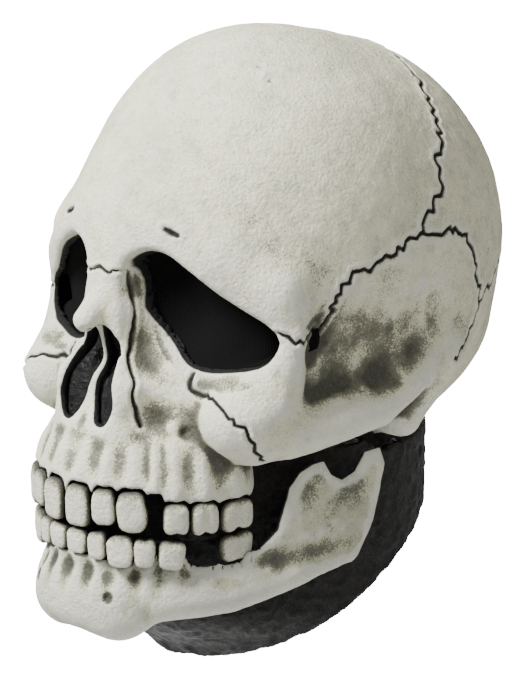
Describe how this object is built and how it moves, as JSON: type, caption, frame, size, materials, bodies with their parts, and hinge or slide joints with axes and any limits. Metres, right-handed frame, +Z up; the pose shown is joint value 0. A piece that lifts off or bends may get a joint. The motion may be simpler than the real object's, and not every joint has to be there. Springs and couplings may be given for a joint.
{
  "type": "latex halloween mask",
  "caption": "Full-head latex skull mask with see-through eye cloth, separate teeth, a hinging lower jaw and a black neck skin with a slanted open hem.",
  "frame": {"origin": "centre of the cranial vault, which is the centre of the wearer's head", "axes": "+X towards the wearer's left, -Y the way the face looks, +Z up"},
  "size_m": [0.1816, 0.2566, 0.288],
  "materials": {
    "bone_latex": "matt bone-coloured latex, pebbled, with a dark airbrushed wash in the recesses",
    "tooth_latex": "satin ivory latex with dark gaps",
    "black_latex": "semi-gloss brown-black latex, finely crumpled",
    "eye_cloth": "matt black see-through mesh cloth"
  },
  "bodies": {
    "skull": {"cranium_skin": "bone_latex", "neck_skin": "black_latex", "nose_lining": "black_latex", "eye_mesh_left": "eye_cloth", "eye_mesh_right": "eye_cloth", "tooth_upper_left_central": "tooth_latex", "tooth_upper_left_lateral": "tooth_latex", "tooth_upper_left_canine": "tooth_latex", "tooth_upper_left_premolar_2": "tooth_latex", "tooth_upper_left_molar_1": "tooth_latex", "tooth_upper_left_molar_2": "tooth_latex", "tooth_upper_right_central": "tooth_latex", "tooth_upper_right_lateral": "tooth_latex", "tooth_upper_right_canine": "tooth_latex", "tooth_upper_right_premolar_1": "tooth_latex", "tooth_upper_right_premolar_2": "tooth_latex", "tooth_upper_right_molar_1": "tooth_latex", "tooth_upper_right_molar_2": "tooth_latex"},
    "jaw": {"mandible_skin": "bone_latex", "tooth_lower_left_central": "tooth_latex", "tooth_lower_left_lateral": "tooth_latex", "tooth_lower_left_canine": "tooth_latex", "tooth_lower_left_premolar_1": "tooth_latex", "tooth_lower_left_premolar_2": "tooth_latex", "tooth_lower_left_molar_2": "tooth_latex", "tooth_lower_right_central": "tooth_latex", "tooth_lower_right_lateral": "tooth_latex", "tooth_lower_right_canine": "tooth_latex", "tooth_lower_right_premolar_1": "tooth_latex", "tooth_lower_right_premolar_2": "tooth_latex", "tooth_lower_right_molar_1": "tooth_latex", "tooth_lower_right_molar_2": "tooth_latex"}
  },
  "joints": [
    {"name": "jaw_flex", "type": "hinge", "parent": "skull", "child": "jaw", "pos_m": [0, 0.005, -0.072], "axis": [1, 0, 0], "range_deg": [0, 4], "stiffness_Nm_per_rad": 2}
  ]
}
